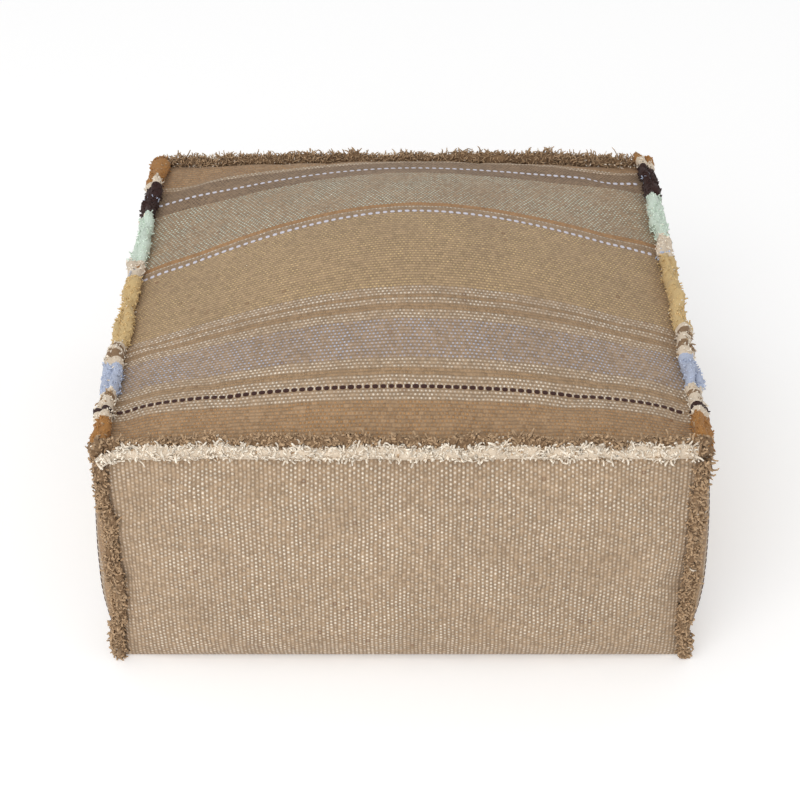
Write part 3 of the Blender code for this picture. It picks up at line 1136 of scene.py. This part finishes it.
def ply_tubes(draw, lines, width):
    """Three-sided tubes round the plies' centre lines: their points and their faces, of which
    the two ends are triangles."""
    sides = PLY_SIDES
    count, points, _ = lines.shape
    ahead = np.gradient(lines, axis=1)
    ahead /= np.linalg.norm(ahead, axis=2, keepdims=True)
    no_ply_runs_along = np.array((0.94, 0.31, 0.13))
    across = np.cross(ahead, no_ply_runs_along)
    across /= np.linalg.norm(across, axis=2, keepdims=True)
    over = np.cross(ahead, across)
    way = np.linspace(0, 1, points)
    radius = width / 2 * (1 - PLY_TAPER * way ** 3)
    radius = radius * draw.uniform(*PLY_WIDTHS, count)[:, None]
    angles = draw.uniform(0, math.tau / sides, count)[:, None] + np.arange(sides) * math.tau / sides
    ring = (
        np.cos(angles)[:, None, :, None] * across[:, :, None]
        + np.sin(angles)[:, None, :, None] * over[:, :, None]
    )
    shell = lines[:, :, None] + ring * radius[:, :, None, None]
    first = (np.arange(count) * points * sides)[:, None, None]
    step = (np.arange(points - 1) * sides)[None, :, None]
    here = np.arange(sides)
    there = (here + 1) % sides
    quads = np.stack(
        [first + step + here, first + step + there, first + step + there + sides,
         first + step + here + sides],
        axis=3,
    )
    root = first[:, 0] + here[::-1]
    tip = first[:, 0] + (points - 1) * sides + here
    ends = np.stack([root, tip], axis=1)
    faces = [quad + end for quad, end in zip(quads.reshape(count, -1, 4).tolist(), ends.tolist())]
    return shell.reshape(-1, 3), faces


def matted_heart(name, row):
    """The woven strip along the seam and the matted yarn over it, as one lumpy bar in its row's
    own axes. The loose plies stand out of it."""
    length = row["length"]
    bar = new_cube(name, (length, 2, 2), (0, 0, 0))
    bpy.ops.object.mode_set(mode="EDIT")

    def runs_along(edge):
        return abs(edge.verts[0].co.x - edge.verts[1].co.x) > length / 2

    select_in_edit(bar, "EDGE", runs_along)
    bpy.ops.mesh.bevel(offset=HEART_BEVEL, segments=3)
    select_in_edit(bar, "EDGE", runs_along)
    bpy.ops.mesh.subdivide(number_cuts=round(length / HEART_CELL) - 1)
    bpy.ops.object.mode_set(mode="OBJECT")
    places, side, up = read_points(bar.data).T
    write_points(bar.data, heart_place(row, places, side, up)[0])
    return bar


def row_kind(own, other):
    """A row's kind, as its name in ROW_KINDS."""
    at_end = {own, other} & {"front", "back"}
    if own == "top":
        return f"top_at_{other}" if at_end else "top_at_side"
    if other == "top":
        return f"{own}_at_top" if at_end else "side_at_top"
    return "end_at_corner" if own in ("front", "back") else "side_at_corner"


def pick_yarns(draw, own, other, slot, spots, mixed=True):
    """Which yarn a row has at each of the spots, as its index in the yarns of the row's slot."""
    count = len(spots)
    chance = draw.uniform(size=count) if mixed else np.full(count, 0.5)
    if slot != "striped_fringe":
        at_end = (own, other) == ("front", "top") and spots[:, 0] > CREAM_END
        return (at_end | (chance < OTHER_YARN[slot])).astype(int)
    names = ROW_YARNS[slot]
    left_ends, right_ends, firsts, seconds, left_shares, right_shares = zip(*END_BANDS)
    at_left = "left" in (own, other)
    ends, shares = (left_ends, left_shares) if at_left else (right_ends, right_shares)
    from_front = spots[:, 1] + SIDE / 2 + BAND_SHIFT
    band = np.searchsorted(np.array(ends) * MILLIMETRE, from_front)
    band = np.clip(band, 0, len(END_BANDS) - 1)
    first = np.array([names.index(name) for name in firsts])[band]
    second = np.array([names.index(name) for name in seconds])[band]
    return np.where(chance < np.array(shares)[band], second, first)


def fullness_of(own, other, matrix, length):
    """How full a row is along its length, as a function of the place: 1, but for the back rows'
    low ends and the tucked foot of an upright row."""
    pair = {own, other}
    axis = matrix.to_3x3().col[0]

    def at(places):
        if "top" not in pair:
            height = matrix.translation.z + axis.z * places
            return 1 - FOOT_TUCK * np.clip(1 - height / FOOT_REACH, 0, 1)
        if "back" in pair:
            return 1 - LOW_ENDS * np.abs(places / (length / 2)) ** 3
        return np.ones_like(places)

    return at


def girth_of(draw, own, other, matrix, length):
    """How much thicker a row is along its length: waves, and a ball at the left rows' back end."""
    waves = wavering(draw, length, *WAVERS["girth"])
    axis = matrix.to_3x3().col[0]
    ball = END_BALL if "top" in (own, other) and "left" in (own, other) else 0.0

    def at(places):
        from_back = length / 2 - axis.y * places
        return waves(places) + ball * np.exp(-(from_back / END_BALL_REACH) ** 2)

    return at


def describe_row(draw, own, other, matrix, length):
    """How a row stands at each place along it, and what its loose plies are like."""
    at_end = {own, other} & {"front", "back"}
    upright = "top" not in (own, other)
    lean, spread, depth, half, plies, slot = ROW_KINDS[row_kind(own, other)]
    slant, stray, combed, ply, width = LOOSE_PLIES[plies]
    corner = other if own in ("front", "back") else own
    down, part = zip(*CORNER_SPREAD.get(corner, ((0, 0),)))
    tuft_lean = wavering(draw, length, *WAVERS["lean"])
    axis = matrix.to_3x3().col[0]

    def lean_at(places):
        if upright:
            height = matrix.translation.z + axis.z * places
            share = np.interp(1 - height / SEAM_HEIGHT, down, part)
        elif at_end:
            share = np.exp(-((length / 2 + axis.x * places) / DIP_REACH) ** 2)
        else:
            share = np.clip(0.5 + axis.y * places / length, 0, 1) ** 2
        return np.radians(lean + spread * share) + tuft_lean(places)

    return {
        "slot": slot,
        "length": length,
        "fullness": fullness_of(own, other, matrix, length),
        "lean": lean_at,
        "depth": depth * MILLIMETRE,
        "half": half * MILLIMETRE,
        "tuft": wavering(draw, length, *WAVERS["depth"]),
        "lump": wavering(draw, length, *WAVERS["lump"]),
        "girth": girth_of(draw, own, other, matrix, length),
        "slant": math.radians(slant),
        "stray": math.radians(stray),
        "combed": combed,
        "ply": ply * MILLIMETRE,
        "width": width * MILLIMETRE,
        "droop": np.array((-DROOP * np.sign(axis.z) if upright else 0.0, 0, 0)),
    }


def mark_strands(mesh, chances, ways):
    """Keep each face corner's own chance and its way from root to tip in the map "strand"."""
    write_map(mesh, "strand", np.stack([chances, ways], axis=-1))


def rest_on_floor(points):
    """Points that would hang below the floor lie level on it."""
    points[..., 2] = np.maximum(points[..., 2], FLOOR_REST)
    return points


def make_row(own, other, seed, sizes, edges):
    """One panel's frayed edge, from its matted heart and its loose plies, as one piece."""
    draw = np.random.default_rng(seed)
    matrix, length = row_frame(own, other, sizes)
    turn, middle = np.array(matrix.to_3x3()), np.array(matrix.translation)
    row = describe_row(draw, own, other, matrix, length)
    upright = "top" not in (own, other)
    count = edges.upright_ends if upright else edges.long_ends
    places = (np.arange(count) + draw.uniform(0, 1, count)) / count * length - length / 2
    lines = rest_on_floor(bent_plies(draw, places, row, edges) @ turn.T + middle)
    shell, faces = ply_tubes(draw, lines, row["width"])
    spots = lines[:, 0] + draw.normal(0, PLY_STRAY, (count, 1))
    yarns = pick_yarns(draw, own, other, row["slot"], spots)
    mesh = bpy.data.meshes.new("plies")
    mesh.from_pydata(shell.tolist(), [], [face for ply in faces for face in ply])
    face_yarns = np.repeat(yarns, len(faces[0])).astype(np.int32)
    mesh.polygons.foreach_set("material_index", face_yarns)
    corners = read_all(mesh.loops, "vertex_index")
    points_per_ply = (edges.steps + 1) * PLY_SIDES
    ways = corners % points_per_ply // PLY_SIDES / edges.steps
    mark_strands(mesh, draw.uniform(size=count)[corners // points_per_ply], ways)
    mesh.shade_smooth()
    plies = bpy.data.objects.new("plies", mesh)
    bpy.context.collection.objects.link(plies)

    heart = matted_heart(f"frayed_{own}_{other}", row)
    write_points(heart.data, rest_on_floor(read_points(heart.data) @ turn.T + middle))
    centres = np.array([face.center for face in heart.data.polygons])
    picked = pick_yarns(draw, own, other, row["slot"], centres, mixed=False)
    heart.data.polygons.foreach_set("material_index", picked.astype(np.int32))
    chances = draw.uniform(*HEART_CHANCE, len(heart.data.loops))
    # Painted shade: the heart lies deep among the plies and takes their root's shade.
    mark_strands(heart.data, chances, np.full(len(chances), HEART_SHADE_WAY))
    heart.data.shade_smooth()
    for name in ROW_YARNS[row["slot"]]:
        heart.data.materials.append(yarn_material(name))
        mesh.materials.append(yarn_material(name))
    choose(heart)
    plies.select_set(True)
    bpy.ops.object.join()
    finish_piece(heart, row["slot"], [f"fringe_{own}_{other}"])


class POUF_OT_frayed_edges(bpy.types.Operator):
    """Fray the panels' cut edges that stand outside the upper and upright seams"""

    bl_idname = "pouf.frayed_edges"
    bl_label = "Frayed edges"

    def execute(self, context):
        sizes = context.scene.cushion_sizes
        edges = context.scene.frayed_edges
        for index, (first, second) in enumerate(SEAMS):
            make_row(first, second, ROW_SEED + 2 * index, sizes, edges)
            make_row(second, first, ROW_SEED + 2 * index + 1, sizes, edges)
        return {"FINISHED"}


class POUF_OT_studio(bpy.types.Operator):
    """Set the floor, the soft light and the camera"""

    bl_idname = "pouf.studio"
    bl_label = "Studio"

    def execute(self, context):
        settings = context.scene.studio_settings
        self.lay_floor(settings)
        self.hang_lights()
        self.place_camera(settings)
        return {"FINISHED"}

    def lay_floor(self, settings):
        """A plain pale floor."""
        deselect_everything()
        bpy.ops.mesh.primitive_plane_add(size=settings.floor_side, location=(0, 0, 0))
        floor = bpy.context.object
        floor.name = "studio_floor"
        acrylic = bpy.data.materials.new("white_acrylic_table_lit_from_below")
        acrylic.use_nodes = True
        shader = acrylic.node_tree.nodes["Principled BSDF"]
        shader.inputs["Base Color"].default_value = (0.85, 0.85, 0.85, 1)
        shader.inputs["Roughness"].default_value = 0.8
        shader.inputs["Emission Color"].default_value = (1, 1, 1, 1)
        shader.inputs["Emission Strength"].default_value = FLOOR_GLOW
        floor.data.materials.append(acrylic)

    def hang_lights(self):
        """White light from all round, and one large soft lamp above the front."""
        world = bpy.data.worlds.new("white_room")
        world.use_nodes = True
        background = world.node_tree.nodes["Background"]
        background.inputs["Color"].default_value = (1, 1, 1, 1)
        background.inputs["Strength"].default_value = ROOM_LIGHT
        bpy.context.scene.world = world
        lamp_data = bpy.data.lights.new("soft_lamp", "AREA")
        lamp_data.shape = "DISK"
        lamp_data.size = LAMP_WIDTH
        lamp_data.energy = LAMP_POWER
        lamp = bpy.data.objects.new("soft_lamp", lamp_data)
        bpy.context.collection.objects.link(lamp)
        lamp.location = LAMP_PLACE
        aim = Vector(LAMP_AIM) - Vector(LAMP_PLACE)
        lamp.rotation_euler = aim.to_track_quat("-Z", "Y").to_euler()

    def place_camera(self, settings):
        """The photograph's view, worked out from the upper front seam and the vanishing of the
        side seams."""
        image_side = 800
        focal_pixels = 1975
        seam_row = 457           # where the upper front seam's middle lies in the image
        middle_column = 402.5    # where the pouf's middle lies in the image
        elevation = settings.elevation
        ahead = Vector((0, math.cos(elevation), -math.sin(elevation)))
        upward = Vector((0, math.sin(elevation), math.cos(elevation)))
        seam = Vector((0, -SIDE / 2, SEAM_HEIGHT))
        drop = (seam_row - image_side / 2) / focal_pixels * settings.distance
        data = bpy.data.cameras.new("camera")
        data.sensor_width = 36
        data.lens = focal_pixels / image_side * data.sensor_width
        data.shift_x = (image_side / 2 - middle_column) / image_side
        camera = bpy.data.objects.new("camera", data)
        bpy.context.collection.objects.link(camera)
        camera.location = seam - ahead * settings.distance + upward * drop
        camera.rotation_euler = (math.pi / 2 - elevation, 0, 0)
        bpy.context.scene.camera = camera


class VIEW3D_PT_pouf(bpy.types.Panel):
    """Lists the pouf's pieces"""

    bl_label = "Cube pouf"
    bl_space_type = "VIEW_3D"
    bl_region_type = "UI"
    bl_category = "Pouf"

    def draw(self, context):
        for operator in OPERATORS:
            self.layout.operator(operator.bl_idname)
        for name in GROUPS:
            group = getattr(context.scene, name)
            box = self.layout.box()
            for prop in group.bl_rna.properties:
                if prop.identifier not in ("rna_type", "name"):
                    box.prop(group, prop.identifier)


GROUPS = {
    "cushion_sizes": CushionSizes,
    "cloth_sizes": ClothSizes,
    "frayed_edges": FrayedEdges,
    "yarn_colours": YarnColours,
    "studio_settings": StudioSettings,
}
OPERATORS = (POUF_OT_woven_cover, POUF_OT_raised_floats, POUF_OT_frayed_edges, POUF_OT_studio)


def register():
    """Register the classes and hang the settings on the scene."""
    for name, group in GROUPS.items():
        bpy.utils.register_class(group)
        setattr(bpy.types.Scene, name, PointerProperty(type=group))
    for operator in OPERATORS:
        bpy.utils.register_class(operator)
    bpy.utils.register_class(VIEW3D_PT_pouf)


def unregister():
    """Take the classes and the settings away again."""
    bpy.utils.unregister_class(VIEW3D_PT_pouf)
    for operator in OPERATORS:
        bpy.utils.unregister_class(operator)
    for name, group in GROUPS.items():
        delattr(bpy.types.Scene, name)
        bpy.utils.unregister_class(group)


def main():
    """Build every piece."""
    register()
    bpy.context.scene.view_settings.view_transform = "Standard"
    bpy.ops.pouf.woven_cover()
    bpy.ops.pouf.raised_floats()
    bpy.ops.pouf.frayed_edges()
    bpy.ops.pouf.studio()


if __name__ == "__main__":
    main()
